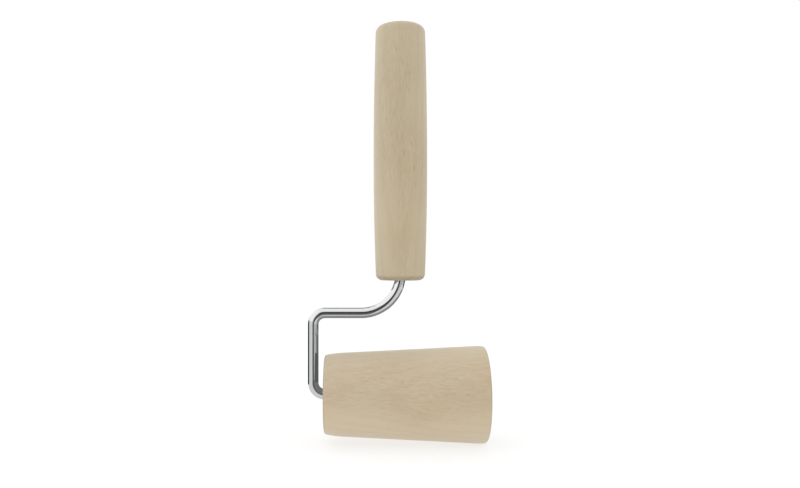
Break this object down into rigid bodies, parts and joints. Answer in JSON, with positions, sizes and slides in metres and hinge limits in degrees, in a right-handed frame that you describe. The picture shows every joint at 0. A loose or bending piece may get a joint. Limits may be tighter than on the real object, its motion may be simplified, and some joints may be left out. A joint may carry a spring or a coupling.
{
  "type": "pastry roller",
  "caption": "Hand roller for dough: a turned wooden grip on a cranked polished wire, with a tapered wooden roller that spins freely on the wire's end.",
  "frame": {"origin": "under the middle of the part's box, on the level of the roller's lowest line", "axes": "+Z along the handle from the roller to the handle's end, +X along the roller's axis towards its large end, y = 0 is the plane of the wire"},
  "size_m": [0.0828, 0.0448, 0.1942],
  "materials": {
    "handle_wood": "sanded pale beech, uncoated",
    "roller_wood": "sanded pale beech, uncoated",
    "polished_wire": "bright plated round steel wire",
    "bush_nylon": "natural nylon",
    "washer_zinc": "zinc-plated steel",
    "spring_steel": "dark spring steel",
    "cap_steel": "bright plated sheet steel"
  },
  "bodies": {
    "handle_frame": {"handle": "handle_wood", "wire_frame": "polished_wire", "inner_washer": "washer_zinc", "outer_washer": "washer_zinc", "retaining_ring": "spring_steel", "axle_cap": "cap_steel"},
    "spinning_roller": {"roller": "roller_wood", "inner_bush": "bush_nylon", "outer_bush": "bush_nylon"}
  },
  "joints": [
    {"name": "roller_spin", "type": "hinge", "parent": "handle_frame", "child": "spinning_roller", "pos_m": [0, 0, 0.02244], "axis": [1, 0, 0], "continuous": true}
  ]
}
